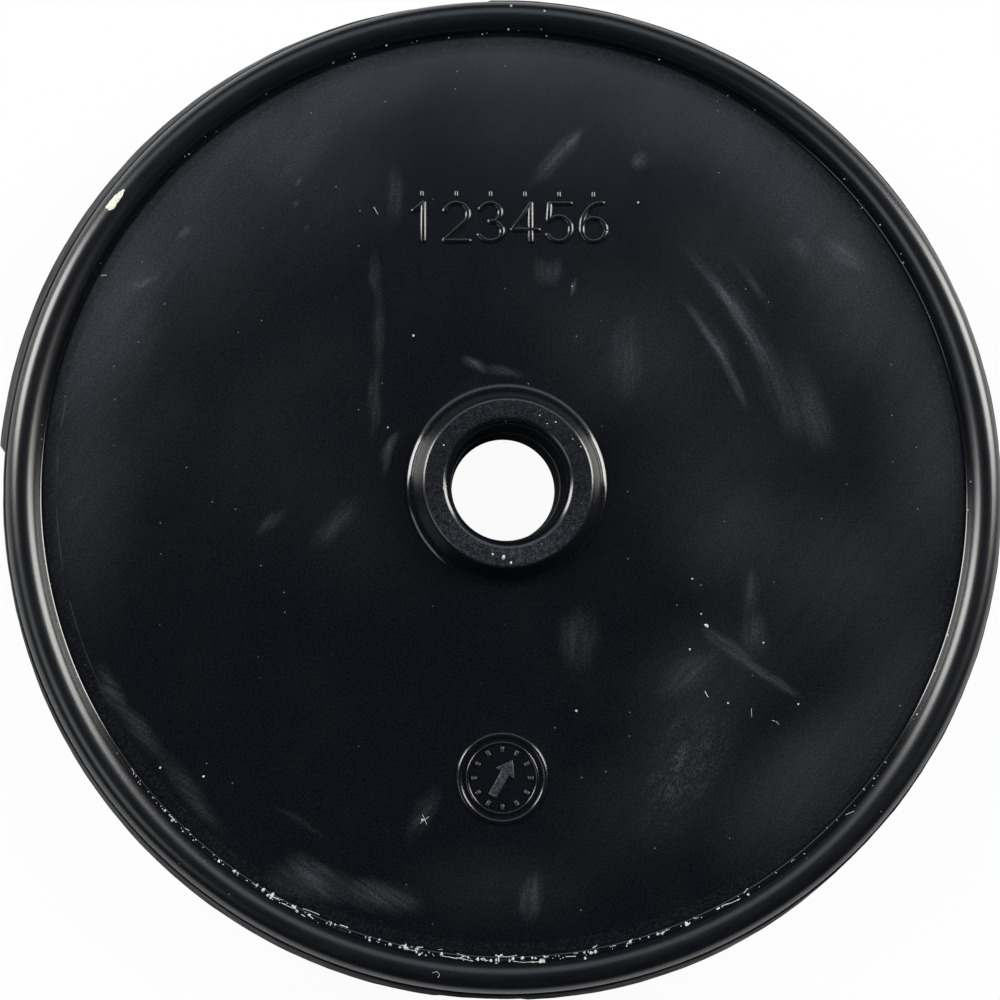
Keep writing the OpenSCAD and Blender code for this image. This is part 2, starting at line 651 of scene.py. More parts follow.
# %% Places of the smears, in mm
hatch_rows = (
    (1.0, (17.0, -24.6), (7.0, 4.0), 45),
    (0.8, (15.5, -28.5), (7.0, 3.0), 60),
)
steep_smears = (
    (1.20, (6.4, 18.9), (1.1, 0.3), 80),
    (0.50, (3.5, 20.4), (1.8, 0.9), 102),
    (0.50, (4.6, 20.5), (1.8, 0.8), 79),
    (0.45, (-10.6, 27.8), (3.6, 0.9), 87),
    (0.40, (11.4, 12.2), (5.5, 1.6), 89),
    (0.55, (22.9, -10.0), (3.0, 0.8), 86),
    (0.50, (23.1, -13.8), (3.2, 1.3), 95),
    (0.50, (6.7, -14.4), (4.0, 1.9), 83),
    (0.80, (2.2, -38.1), (3.0, 1.1), 80),
    (0.50, (-12.3, 19.5), (3.6, 0.6), 95),
    (0.60, (-12.1, 14.5), (4.0, 0.65), 90),
    (0.50, (-12.4, 8.3), (5.0, 0.6), 86),
    (0.50, (-11.2, 2.4), (2.3, 0.4), 78),
)
rising_smears = (
    (0.80, (4.9, 31.6), (4.9, 1.0), 49),
    (0.70, (6.7, 33.3), (1.6, 0.5), 55),
    (0.90, (12.8, 31.3), (1.3, 0.8), 55),
    (0.42, (17.0, -17.6), (4.4, 1.6), 31),
    (0.45, (-7.9, -30.6), (3.7, 1.1), 62),
    (0.70, (-11.0, 3.6), (2.2, 0.45), 57),
    (0.50, (-15.9, -3.5), (4.3, 1.1), 47),
    (0.50, (-22.1, -3.6), (2.3, 0.7), 40),
    (0.70, (-30.6, 24.0), (1.4, 0.4), 41),
    (0.70, (-34.2, 19.2), (2.1, 0.5), 27),
    (0.70, (-19.7, 29.1), (0.8, 0.25), 53),
    (0.70, (-19.9, 26.9), (0.7, 0.25), 64),
    (0.60, (-18.9, 24.5), (0.7, 0.25), 64),
)
falling_smears = (
    (1.10, (-3.0, 11.5), (1.7, 0.6), 149),
    (0.60, (-0.4, 10.8), (2.9, 0.5), 170),
    (0.75, (20.9, -15.4), (4.2, 0.8), 142),
    (1.10, (24.7, -18.1), (4.3, 0.5), 148),
    (0.70, (-36.6, -19.3), (3.8, 1.0), 119),
    (0.65, (-33.8, -23.0), (3.8, 0.9), 130),
    (0.50, (-29.5, -28.3), (6.5, 1.0), 129),
    (0.90, (-17.9, -36.8), (5.4, 1.7), 167),
    (0.80, (-11.6, -38.0), (5.0, 1.5), 169),
    (0.60, (-18.4, -35.4), (3.0, 1.0), 151),
    (0.50, (-19.1, -31.3), (3.6, 0.3), 150),
    (0.60, (32.5, 22.3), (3.8, 1.0), 144),
    (0.50, (28.3, 22.8), (1.9, 0.8), 140),
)
smear_groups = ((88, steep_smears), (50, rising_smears), (147, falling_smears))
print("smears:", sum(len(rows) for degrees, rows in smear_groups))

# %% [markdown]
# The arcs at the upper right were rubbed by something that swung round, so
# they share one centre. Turning the place into a distance and an angle about
# that centre makes each arc a plain band, and noise that is long in the angle
# and short in the distance gives it its fibres.

# %% Rubbed arcs
swirl_centre = (-15.8, -7.4)
swirl_fade_in = 0.08
swirl_fade_out = 0.16
swirls = (
    (0.35, 39.9, 0.9, 26, 31),
    (0.80, 41.3, 0.6, 20, 40),
    (0.35, 41.6, 1.3, 26, 38),
    (0.40, 43.4, 0.8, 19, 25),
    (0.90, 44.7, 0.7, 24, 44),
    (0.40, 45.0, 1.6, 14, 40),
    (0.50, 47.7, 0.6, 30, 40),
    (0.50, 47.2, 2.0, 12, 27),
)


def swirl_mask(spot):
    """Scuffs along arcs round one centre, with fibres along each arc."""
    reach, angle = spot.vector("SUBTRACT", spot, (*swirl_centre, 0)).polar()
    fibre_at = reach.node("CombineXYZ", {"X": reach, "Y": angle * 5})
    fibre = fibre_at.noise(0.45, detail=4, rough=0.65).above(0.3, 0.75)
    whole = 0
    for strength, radius, width, first, last in swirls:
        off = reach - radius
        across = off.maths("ABSOLUTE", off).below(0, width)
        start = math.radians(first)
        end = math.radians(last)
        ends = angle.above(start, start + swirl_fade_in) * angle.below(end - swirl_fade_out, end)
        whole = across * ends * strength + whole
    return whole * (fibre * 0.7 + 0.35)


print("rubbed arcs:", len(swirls))

# %% [markdown]
# The haze at the upper left ends where a hand wiped it off. That edge is sharper
# than a patch, so it is drawn on its own as one slanted line and one upright
# one. Noise that is stretched along one way gives the haze its brushed look.

# %% Haze and painted sheen in the shader
wipe_side = (-0.629, 0.777)
wipe_off = 34.3


def wiped_edge(spot):
    """1 where the haze at the upper left was left, and 0 where it was wiped off."""
    x, y, z = spot.parts()
    rising = (y * wipe_side[1] + x * wipe_side[0] - wipe_off).above(-1.3, 1.7)
    return rising.maths("MAXIMUM", rising, x.below(-35.0, -30.8))


def haze_and_sheen_mask(spot, grain):
    """Broad chalky haze, with painted sheen at the far edge, brushed one way by hands."""
    brushed = spot.turned(55, 7).noise(1.1, detail=3, rough=0.6)
    cloudy = spot.turned(50, 2).noise(7, detail=2, rough=0.55)
    x, y, z = spot.parts()
    near_edge = x.below(-20, -5) * y.above(4, 14)
    left_over = 1 + near_edge * (wiped_edge(spot) * 0.32 - 0.25)
    laid = spot.node("Attribute", {}, out=2, attribute_name=haze_and_sheen_name)
    return laid * (brushed * 0.7 + cloudy * 0.7 + 0.3) * left_over * (grain * 0.5 + 0.75)


wipe_lean = math.atan2(-wipe_side[0], wipe_side[1])
print("the wiped edge leans by degrees:", round(math.degrees(wipe_lean)))

# %% [markdown]
# A smear is where something soft was dragged over the chalk. Its edge is never
# even, so the place is shaken by a smooth noise before the ovals are drawn. Fine
# scratches are the contour lines of a noise, which are thin and short and curl
# by themselves.

# %% Smears and scratches
shake_size = 2.5
shake_far = 0.8
worm_width = 0.07


def smear_mask(spot):
    """Thin smears, each group with fibres along its own way."""
    whole = 0
    uneven = shaken(spot, shake_size, shake_far)
    for degrees, rows in smear_groups:
        fibres = spot.turned(degrees, 9).noise(0.45, detail=2, rough=0.65).above(0.3, 0.75)
        whole = wisps(uneven, rows) * (fibres * 0.9 + 0.45) + whole
    return whole


def worms(spot, size):
    """Thin short curls, as fine scratches in chalk make: the contours of a noise."""
    off = spot.noise(size, detail=1) - 0.5
    return off.maths("ABSOLUTE", off).below(0.0, worm_width)


def hatch(spot):
    """Short wiggly scratches that cross each other, in clumps."""
    clumps = spot.turned(50, 3).noise(0.9, detail=2).above(0.35, 0.75) + 0.35
    crossed = worms(spot.turned(35, 2), 0.28) + worms(spot.turned(70, 2), 0.28)
    return crossed * clumps


print("smears are shaken by up to mm:", shake_far / 2)

# %% [markdown]
# Beside the bead the mould left a thin ring line, and dust and scratches gather
# there because a cloth does not reach into the corner. Dust on the web is the
# near cells of a Voronoi pattern, with most cells left empty.

# %% Ring line and dust
ring_line_r = 42.5
ring_line_off = 0.35
ring_line_half = 0.03
dust_step = 2.3


def foot_zone(spot, reach, around):
    """Thin lines and scratches that run round the web beside the bead."""
    off_axis = spot.vector("DISTANCE", spot, (ring_line_off, 0, web_half), out=1)
    line = off_axis.between(ring_line_r - ring_line_half, ring_line_r + ring_line_half, 0.06)
    patchy = spot.noise(3, detail=3).above(0.42, 0.6)
    scratches = around.noise(0.16, detail=3, rough=0.7).above(0.58, 0.8)
    zone = reach.between(41.4, 43.2, 0.4) * spot.noise(5, detail=2).above(0.4, 0.65)
    curls = worms(spot.turned(35, 2), 0.3) * reach.between(42.4, 43.2, 0.2) * 0.35
    left_side = spot.parts()[0].below(-39, -36)
    return line * patchy * left_side * 0.95 + scratches * zone * 0.6 + curls


def dust_mask(spot):
    """Tiny pale specks, more of them in some places than in others."""
    plugs = {"Vector": spot, "Scale": 1 / dust_step}
    near = spot.node("TexVoronoi", plugs, voronoi_dimensions="2D")
    chosen = near.other(1).parts()[0].above(0.89, 0.9)
    crowd = spot.noise(11, detail=1).above(0.4, 0.6)
    return near.below(0.015, 0.04) * chosen * crowd


print("one speck of dust at most in every square of mm:", dust_step)

# %% [markdown]
# The colours are those of black rubber, of the chalk that lies on it and of the
# torn flash. The flash's grey is partly its torn edge and partly painted light on
# the fin's outer part, which stands out past the bead's shade. The mould's fine
# grain is the same all over, so one function gives it to all the rubber.

# %% Colours and grain
rubber_black = (0.0003, 0.0008, 0.0022, 1)
chalk = (0.292, 0.312, 0.355, 1)
torn_and_lit_flash_grey = (0.33, 0.325, 0.33, 1)
sheen = 0.75
bump_high = 0.008
bump_strength = 0.13


def finish_rubber(shader, spot, colour, rough):
    """Plugs what the rubber materials share: colour, sheen and the mould's fine grain."""
    plug(shader, "Base Color", colour)
    plug(shader, "Roughness", rough)
    plug(shader, "Specular IOR Level", sheen)
    grain = spot.noise(0.13, detail=2, rough=0.6)
    plugs = {"Strength": bump_strength, "Distance": bump_high * MM, "Height": grain}
    plug(shader, "Normal", grain.node("Bump", plugs))


print("grain's height in micrometres:", bump_high * 1000)

# %% [markdown]
# The web carries nearly all the marks, so it has a material of its own. The
# hub, the bead and the flash share a second one, which is quicker because it
# leaves out all the smears.

# %% Web material
web_from_r = 9.9
web_to_r = 43.2
mark_centre = (-0.5, -27.3)
worn_r = 3.0
haze_and_sheen_light = 0.105
smear_light = 0.10
swirl_light = 0.15
hatch_light = 0.05
foot_light = 0.07
smooth_rubber = 0.175


def web_material(name):
    """Satin black rubber with haze, smears and dust, marked where the photograph has them, and
    painted sheen along the far edge of the web.
    """
    material, shader, spot = new_material(name)
    height = spot.parts()[2]
    reach, angle = spot.polar()
    around = spot.node("CombineXYZ", {"X": reach, "Y": angle * 5})
    web = reach.between(web_from_r, web_to_r, 0.3)
    inside = 1 - reach.above(ring_line_r - 0.2, ring_line_r + 0.2) * 0.3
    mottle = spot.noise(7, detail=3, rough=0.62)
    fine = spot.noise(0.14, detail=1).above(0.3, 0.7)
    rubbed = smear_mask(spot) * smear_light + swirl_mask(spot) * swirl_light
    # Haze, and along the far edge of the web painted sheen.
    marks = haze_and_sheen_mask(spot, fine) * inside * haze_and_sheen_light
    marks = marks + rubbed * (fine * 0.8 + 0.6)
    marks = marks + wisps(spot, hatch_rows) * hatch(spot) * hatch_light
    marks = (marks + foot_zone(spot, reach, around) * foot_light) * web
    off_mark = spot.vector("DISTANCE", spot, (*mark_centre, web_half), out=1)
    near_mark = off_mark.below(worn_r, worn_r + 0.1)
    raised = height.above(web_half + 0.12, web_half + 0.16)
    worn_tops = raised * near_mark * (fine * 0.16 + 0.05)
    general = mottle.above(0.45, 0.85) * 0.005 + fine * 0.017
    whole = marks + worn_tops + dust_mask(spot) * 0.5 + general
    rough = marks * 0.5 + mottle * 0.04 + smooth_rubber
    finish_rubber(shader, spot, whole.mixed(rubber_black, chalk), rough)
    return material


web_rubber = web_material("web rubber")
print("nodes in the web's rubber:", len(web_rubber.node_tree.nodes))

# %% [markdown]
# On the hub the flat faces are rubbed by the washer that clamps them, most at
# the near side. The bead's crown is a little worn, the groove at its foot stays
# glossy, and the torn edge of the flash is streaked along the rim. The flash is
# painted pale only past the crease as the camera sees it: the black inside stands
# for the crease's shade, and the pale outside is partly painted light.

# %% Hub and rim material
# Where the painted light on the flash starts, shifted outwards on the far side, where the bead hides
# more of the fin.
lit_fin_starts = 47.44
lit_fin_lean = (0.0021, 0.0034)


def rim_material(name):
    """Satin black rubber with worn crowns and faces, and the flash's pale tear, which is partly
    painted light.
    """
    material, shader, spot = new_material(name)
    x, y, z = spot.parts()
    reach, angle = spot.polar()
    around = spot.node("CombineXYZ", {"X": reach, "Y": angle * 5, "Z": z})
    along_rim = spot.node("CombineXYZ", {"X": reach, "Y": angle * 1.3})
    high = z.maths("ABSOLUTE", z)
    mottle = spot.noise(7, detail=3, rough=0.62)
    fine = spot.noise(0.14, detail=1).above(0.3, 0.7)
    rubbed = spot.noise(0.45, detail=4, rough=0.75).above(0.25, 0.85)
    face_wear = rubbed * (y.below(-8, 0) * 0.11 + 0.05)
    arcs = around.noise(0.25, detail=3, rough=0.6).above(0.5, 0.75)
    face_arcs = arcs * y.above(2, 7) * 0.05
    hub_face = high.above(hub_half - 0.1, hub_half) * (face_wear + face_arcs + 0.01)
    hub_face = hub_face * (fine * 1.4 + 0.3)
    crown_wear = around.noise(0.5, detail=3, rough=0.65).above(0.3, 0.8) * 0.016
    crown = reach.between(45.0, 45.8, 0.4) * high.above(2.7, 3.0) * crown_wear * (fine + 0.5)
    streaks = along_rim.noise(0.1, detail=2, rough=0.6).above(0.3, 0.7)
    # Painted light: the flash is pale only past the crease as the camera sees it, partly torn edge
    # and partly the lit fin.
    outward = reach - x * lit_fin_lean[0] - y * lit_fin_lean[1]
    fin = outward.above(lit_fin_starts, lit_fin_starts + 0.08) * (streaks * 0.3 + 0.14)
    grain = fine * (0.017 - reach.above(43.5, 43.8) * 0.011)
    general = mottle.above(0.45, 0.85) * 0.005 + grain
    whole = hub_face + crown + dust_mask(spot) * z.above(0.4, 0.8) * 0.5 + fin + general

    # The feet of the hub and of the bead are glossy, the bead and the hub's flank duller.
    glossy = reach.between(9.0, 9.7, 0.1) * 0.07 + reach.between(43.35, 43.6, 0.1) * 0.1
    far_foot = reach.between(9.0, 10.0, 0.1) * y.above(3, 8) * 0.1
    dull = reach.above(43.8, 44.1) * 0.09 + reach.between(7.9, 8.8, 0.1) * 0.1 + far_foot
    rough = mottle * 0.04 + dull - glossy + smooth_rubber
    pale = reach.above(46.8, 47.0).mixed(chalk, torn_and_lit_flash_grey)
    finish_rubber(shader, spot, whole.mixed(rubber_black, pale), rough)
    return material


rim_rubber = rim_material("rim rubber")
print("nodes in the rim's rubber:", len(rim_rubber.node_tree.nodes))

# %% [markdown]
# No hand and no light reaches the wall of the bore. It is duller than the rest
# and has only the faint rings that the mould's pin left. A paler line on the
# trimmed ridge is a painted highlight of its upward ledge, and a paler ring is
# painted just above the lower lip. A second material on the same mesh is simpler
# than a mask, because a duller sheen is one number on the shader.

# %% Bore material


def bore_material(name):
    """Dull black rubber with faint rings, a painted highlight on the ridge and a paler ring above
    the lower lip.
    """
    material, shader, spot = new_material(name)
    height = spot.parts()[2]
    upright = height.node("CombineXYZ", {"Z": height})
    rings = upright.noise(0.3, detail=3, rough=0.7).above(0.5, 0.75)
    # Painted highlight along the ridge's upward ledge; a paler ring above the lower lip.
    ridge = height.between(-0.05, 0.1, 0.06)
    low_lip = height.between(-4.3, -4.1, 0.06)
    pale = rings * 0.01 + ridge * 0.22 + low_lip * 0.12
    plug(shader, "Base Color", pale.mixed(rubber_black, chalk))
    plug(shader, "Roughness", rings * 0.1 + 0.5)
    plug(shader, "Specular IOR Level", 0.12)
    return material


bore_rubber = bore_material("bore rubber")
print("nodes in the bore's rubber:", len(bore_rubber.node_tree.nodes))

# %% [markdown]
# Every finished piece goes through the same few steps: its normals are turned
# outwards, its faces are shaded smooth apart from true corners, it gets its
# material, and it is told which body it rides on.

# %% Finish of a piece
sharp_turn = math.radians(33)


def add_piece(shape, name, material, sharp=sharp_turn):
    """Turns a bmesh into a shaded object that rides on the part."""
    bmesh.ops.recalc_face_normals(shape, faces=shape.faces)
    for face in shape.faces:
        face.smooth = True
    for edge in shape.edges:
        edge.smooth = len(edge.link_faces) == 2 and edge.calc_face_angle() < sharp
    mesh = bpy.data.meshes.new(name)
    shape.to_mesh(mesh)
    shape.free()
    mesh.materials.append(material)
    piece = bpy.data.objects.new(name, mesh)
    bpy.context.collection.objects.link(piece)
    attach(piece, BODY)
    print(name, "faces:", len(mesh.polygons))
    return piece


print("corners sharper than this stay sharp, in degrees:", round(math.degrees(sharp_turn)))

# %% [markdown]
# A shape that was turned on a lathe is made here in the same way: its outline is
# spun round the axis. The body and the rings of the round mark are made so.

# %% Spinning


def spun(outline, steps):
    """A closed outline of points in mm, spun round the Z axis, as one bmesh."""
    shape = bmesh.new()
    corners = [shape.verts.new((r * MM, 0, z * MM)) for r, z in outline]
    loop = [shape.edges.new(pair) for pair in zip(corners, corners[1:] + corners[:1])]
    bmesh.ops.spin(
        shape, geom=corners + loop, axis=(0, 0, 1), angle=math.tau, steps=steps, use_merge=True
    )
    bmesh.ops.remove_doubles(shape, verts=shape.verts, dist=1e-7)
    return shape


body_steps = 480
print("widest step at the rim in mm:", round(math.tau * outer_r / body_steps, 2))

# %% [markdown]
# The body is the whole section, spun. The points of the flash's edge are then
# moved out to its torn outline, and each face gets the rubber of its place.

# %% Body mesh
flash_wave = 0.06
web_slot = 1
bore_slot = 2


def make_body(material):
    """Spins the section and pulls the flash's edge to its torn outline."""
    shape = spun(section, body_steps)
    for vert in shape.verts:
        reach = vert.co.xy.length / MM
        if reach > outer_r + flash_w / 2:
            angle = math.degrees(math.atan2(vert.co.y, vert.co.x)) % 360
            vert.co.xy *= flash_edge(angle) / reach
            wave = math.sin(math.radians(11 * angle)) * math.sin(math.radians(4 * angle))
            vert.co.z += flash_wave * MM * wave
    for face in shape.faces:
        middle = face.calc_center_median() / MM
        deep = -hub_half + lower_lip_r / 2 < middle.z < hub_half - upper_lip_r
        if abs(middle.z - web_half) < 0.001:
            face.material_index = web_slot
        elif deep and middle.xy.length < bore_top_r:
            face.material_index = bore_slot
    piece = add_piece(shape, "moulding", material)
    piece.data.materials.append(web_rubber)
    piece.data.materials.append(bore_rubber)
    lay_haze_and_sheen(piece.data)
    return piece


body = make_body(rim_rubber)
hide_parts(NODE)

# %% [markdown]
# ## Raised marks
#
# Marks on a moulding are cut into the mould with a round-nosed cutter, so they
# stand up as ribs with a rounded back. A curve with a round bevel gives that
# section along any stroke. The lower half of the tube is then cut away just
# under the web and closed.

# %% Ribs
rib_width = 0.6
rib_height = 0.22
rib_sink = 0.05


def cut_under_web(shape):
    """Cuts a bmesh just under the web's face and closes the cut."""
    level = (web_half - rib_sink) * MM
    geometry = shape.verts[:] + shape.edges[:] + shape.faces[:]
    cut = bmesh.ops.bisect_plane(
        shape, geom=geometry, plane_co=(0, 0, level), plane_no=(0, 0, 1), clear_inner=True
    )
    rim = [e for e in cut["geom_cut"] if isinstance(e, bmesh.types.BMEdge)]
    bmesh.ops.holes_fill(shape, edges=rim, sides=0)


def round_end(last, before, half):
    """Points past the end of a stroke where its thickness runs out in a round."""
    out = (last - before).normalized() * half
    return [(last + out * step, max(math.sqrt(1 - step**2), 0.05)) for step in (0.5, 0.85, 1)]


def round_ends(points, half):
    """A stroke's points with their thickness, and the rounds at both its ends."""
    start = round_end(points[0], points[1], half)
    end = round_end(points[-1], points[-2], half)
    return start[::-1] + [(p, 1.0) for p in points] + end


def add_tubes(shape, lines, width, rings):
    """Adds tubes along lines of points to a bmesh: x, y and z in mm, and a share of the width."""
    curve = bpy.data.curves.new("strokes", "CURVE")
    curve.dimensions = "3D"
    curve.bevel_depth = width / 2 * MM
    curve.bevel_resolution = rings
    curve.use_fill_caps = True
    for points in lines:
        line = curve.splines.new("POLY")
        line.points.add(len(points) - 1)
        for point, (x, y, z, thick) in zip(line.points, points):
            point.co = (x * MM, y * MM, z * MM, 1)
            point.radius = thick
    holder = bpy.data.objects.new("strokes", curve)
    bpy.context.collection.objects.link(holder)
    mesh = bpy.data.meshes.new_from_object(holder)
    shape.from_mesh(mesh)
    bpy.data.objects.remove(holder)
    bpy.data.curves.remove(curve)
    bpy.data.meshes.remove(mesh)


def rib_shape(strokes, width=rib_width, height=rib_height):
    """Ribs along strokes of points in mm, lying on the web, as one bmesh."""
    shape = bmesh.new()
    lines = [round_ends([Vector(p) for p in points], width / 2) for points in strokes]
    add_tubes(shape, [[(p.x, p.y, 0, thick) for p, thick in line] for line in lines], width, 7)
    bmesh.ops.remove_doubles(shape, verts=shape.verts, dist=1e-6)
    bmesh.ops.scale(shape, verts=shape.verts, vec=(1, 1, 2 * height / width))
    bmesh.ops.translate(shape, verts=shape.verts, vec=(0, 0, web_half * MM))
    cut_under_web(shape)
    return shape


print("ribs are this wide and high in mm:", rib_width, rib_height)

# %% [markdown]
# The row of marks above the hub is a plain scale, like that on a dial: six
# even divisions with the numbers 1 to 6. Each number is drawn with lines and
# round arcs in a box one wide and one high, then set in its place.

# %% Strokes of the numbers
box_middle = 0.5
number_strokes = {
    "1": [[(0.18, 0.78), (0.52, 0.99)], [(0.55, 1.0), (0.55, 0.0)]],
    "2": [
        oval_arc((0.5, 0.70), (0.46, 0.30), 165, -35) + [(0.06, 0.03)],
        [(0.04, 0.0), (0.98, 0.0)],
    ],
    "3": [
        oval_arc((0.48, 0.75), (0.40, 0.25), 160, -90),
        oval_arc((0.48, 0.26), (0.47, 0.26), 90, -155),
    ],
    "4": [[(0.72, 0.0), (0.72, 1.0)], [(0.70, 0.98), (0.04, 0.31)], [(0.02, 0.30), (1.0, 0.30)]],
    "5": [
        [(0.92, 1.0), (0.14, 1.0)],
        [(0.13, 0.99), (0.08, 0.54)],
        oval_arc((0.47, 0.33), (0.48, 0.33), 140, -150),
    ],
    "6": [
        oval_arc((0.5, 0.31), (0.47, 0.31), 0, 350),
        oval_arc((0.78, 0.36), (0.74, 0.66), 178, 85),
    ],
}
number_high = 3.7
number_wide = 2.45
scale_first_x = -8.0
scale_step = 3.28
scale_base_y = 23.4
tick_low = 27.75
tick_high = 28.15
print("strokes of the numbers:", sum(len(strokes) for strokes in number_strokes.values()))

# %% Scale


def scale_strokes():
    """Strokes of the six numbers."""
    strokes = []
    for place, number in enumerate("123456"):
        middle = scale_first_x + place * scale_step
        for line in number_strokes[number]:
            wide = [middle + (u - box_middle) * number_wide for u, v in line]
            high = [scale_base_y + v * number_high for u, v in line]
            strokes.append(list(zip(wide, high)))
    return strokes


def tick_strokes():
    """A short tick over each number."""
    places = [scale_first_x + place * scale_step for place in range(6)]
    return [[(x, tick_low), (x, tick_high)] for x in places]


scale_marks = add_piece(rib_shape(scale_strokes()), "scale_marks", web_rubber)
tick_shape = rib_shape(tick_strokes(), width=0.36, height=0.12)
scale_ticks = add_piece(tick_shape, "scale_ticks", web_rubber)

# %% [markdown]
# The round mark below the hub is such as mould makers use for a date: a ring,
# a dial of short lines and a wide pointer. Its ring is spun, because a closed
# circle is what spin makes best. The lines and the pointer have flat tops that
# were scuffed, so they start as flat outlines that are pulled up and bevelled.

# %% Ring of the mark
mark_r = 4.0
ring_corners = 18
ring_steps = 96


def ring_shape(radius, width, height):
    """A rounded ring round the mark's centre, as one bmesh."""
    turns = [math.tau * i / ring_corners for i in range(ring_corners)]
    outline = [(radius + width / 2 * math.cos(t), height * math.sin(t)) for t in turns]
    shape = spun(outline, ring_steps)
    centre = (mark_centre[0] * MM, mark_centre[1] * MM, web_half * MM)
    bmesh.ops.translate(shape, verts=shape.verts, vec=centre)
    cut_under_web(shape)
    return shape


mark_ring = add_piece(ring_shape(mark_r, 0.6, 0.26), "round_mark_ring", web_rubber)
mark_inner_ring = add_piece(ring_shape(3.25, 0.34, 0.14), "round_mark_inner_ring", web_rubber)

# %% Flat-topped parts of the mark
mark_ticks = 12
mark_high = 0.2
mark_bevel = 0.09
tick_line = ((-0.17, 2.35), (0.17, 2.35), (0.17, 2.9), (-0.17, 2.9))
pointer_line = (
    (-0.42, -1.9),
    (0.42, -1.9),
    (0.42, 0.5),
    (1.05, 0.5),
    (0, 1.95),
    (-1.05, 0.5),
    (-0.42, 0.5),
)
pointer_turn = -30


def plateau(shape, outline, degrees):
    """Adds a flat-topped block with a bevelled top, turned about the mark's centre."""
    low = (web_half - rib_sink) * MM
    high = (mark_high + rib_sink) * MM
    corners = [shape.verts.new((x * MM, y * MM, low)) for x, y in outline]
    base = shape.faces.new(corners)
    raised = bmesh.ops.extrude_face_region(shape, geom=[base])["geom"]
    top = [part for part in raised if isinstance(part, bmesh.types.BMVert)]
    bmesh.ops.translate(shape, verts=top, vec=(0, 0, high))
    rim = [edge for edge in shape.edges if edge.verts[0] in top and edge.verts[1] in top]
    bevelled = bmesh.ops.bevel(
        shape, geom=rim, offset=mark_bevel * MM, affect="EDGES", segments=3, profile=0.5, material=-1
    )
    block = list({vert for face in bevelled["faces"] for vert in face.verts} | set(corners))
    turn = Matrix.Rotation(math.radians(degrees), 3, "Z")
    bmesh.ops.rotate(shape, verts=block, matrix=turn)
    bmesh.ops.translate(shape, verts=block, vec=(mark_centre[0] * MM, mark_centre[1] * MM, 0))


def dial_shape():
    """The dial's short lines and its pointer, as one bmesh."""
    shape = bmesh.new()
    for place in range(mark_ticks):
        plateau(shape, tick_line, 360 / mark_ticks * place)
    plateau(shape, pointer_line, pointer_turn)
    return shape


mark_dial = add_piece(dial_shape(), "round_mark_dial", web_rubber, sharp=math.radians(50))
for mark in (scale_marks, scale_ticks, mark_ring, mark_inner_ring, mark_dial):
    lay_haze_and_sheen(mark.data)

# %% [markdown]
# ## Crumbs
#
# Bits of dry rubber dust and chalk lie in the groove along the bead and here
# and there on the hub and the web. Each is a small ball with its points pushed
# about. A few hundred of them fit in one mesh.

# %% Chalk material


def crumb_material():
    """Dry pale dust with a little grey in it."""
    material, shader, spot = new_material("pale dust")
    patchy = spot.noise(0.5, detail=2).above(0.3, 0.7)
    plug(shader, "Base Color", patchy.mixed((0.75, 0.74, 0.71, 1), (0.42, 0.42, 0.42, 1)))
    plug(shader, "Roughness", 0.85)
    plug(shader, "Specular IOR Level", 0.3)
    return material


pale_dust = crumb_material()
print("nodes in the pale dust:", len(pale_dust.node_tree.nodes))

# %% [markdown]
# The largest crumbs are placed one by one, where the photograph has them. The
# small ones are scattered with a fixed seed, so each run gives the same ones.

# %% Crumb places
crumb_seed = 11
bead_groove_r = 43.75
above_flash = 0.5
past_bore_r = 5.6


def height_at(reach):
    """Height of the upper face at a distance from the axis, in mm."""
    points = sorted(p for p in section if p[1] > above_flash and p[0] > past_bore_r)
    for (r0, z0), (r1, z1) in zip(points, points[1:]):
        if r0 <= reach <= r1:
            return z0 + (z1 - z0) * (reach - r0) / max(r1 - r0, 1e-6)
    return web_half


def at_angle(degrees, reach):
    """A place on the part at an angle and a distance from the axis."""
    turn = math.radians(degrees)
    return (reach * math.cos(turn), reach * math.sin(turn))


near_crumbs = 150
round_crumbs = 70
hub_crumbs = 6
chosen_crumbs = (
    ((0.5, 46.0), 0.14, 1.0),
    ((3.7, 45.5), 0.12, 1.0),
    ((-0.5, -7.0), 0.17, 1.6),
    ((0.2, -7.5), 0.13, 1.3),
    ((-1.5, -6.7), 0.12, 1.2),
    ((-5.9, -0.5), 0.13, 2.0),
    ((4.4, 5.6), 0.10, 1.0),
    ((-6.0, 3.4), 0.09, 1.0),
    ((18.7, -13.2), 0.16, 1.6),
    ((17.1, -15.4), 0.12, 1.0),
    ((17.4, -8.8), 0.11, 1.0),
    ((18.2, -12.1), 0.10, 1.0),
    ((-8.8, 14.2), 0.15, 1.0),
    ((-11.2, 5.4), 0.10, 1.0),
    ((12.7, 27.2), 0.11, 1.0),
    ((6.4, -21.1), 0.15, 1.0),
    ((24.0, -14.8), 0.12, 1.0),
    ((27.2, -20.5), 0.12, 1.0),
    ((20.6, -20.4), 0.11, 1.0),
    ((-7.9, -31.1), 0.11, 1.3),
    ((-28.1, -27.1), 0.13, 1.0),
    ((-32.1, -26.3), 0.12, 1.0),
    ((6.3, 19.0), 0.09, 1.0),
)


def scattered_crumbs(dice):
    """Crumbs in the groove of the bead, thickest at the near side, and a few on the hub."""
    crumbs = []
    for number in range(near_crumbs + round_crumbs):
        if number < near_crumbs:
            degrees = dice.gauss(262, 24)
            size = 0.05 + 0.13 * dice.random() ** 3
        else:
            degrees = dice.uniform(0, 360)
            size = 0.04 + 0.07 * dice.random() ** 2
        place = at_angle(degrees, bead_groove_r + dice.gauss(0, 0.1))
        crumbs.append((place, size, 1 + dice.random()))
    for number in range(hub_crumbs):
        degrees = dice.uniform(0, 360)
        place = at_angle(degrees, dice.uniform(6.4, 7.6))
        crumbs.append((place, 0.04 + 0.03 * dice.random(), 1.2))
    return crumbs


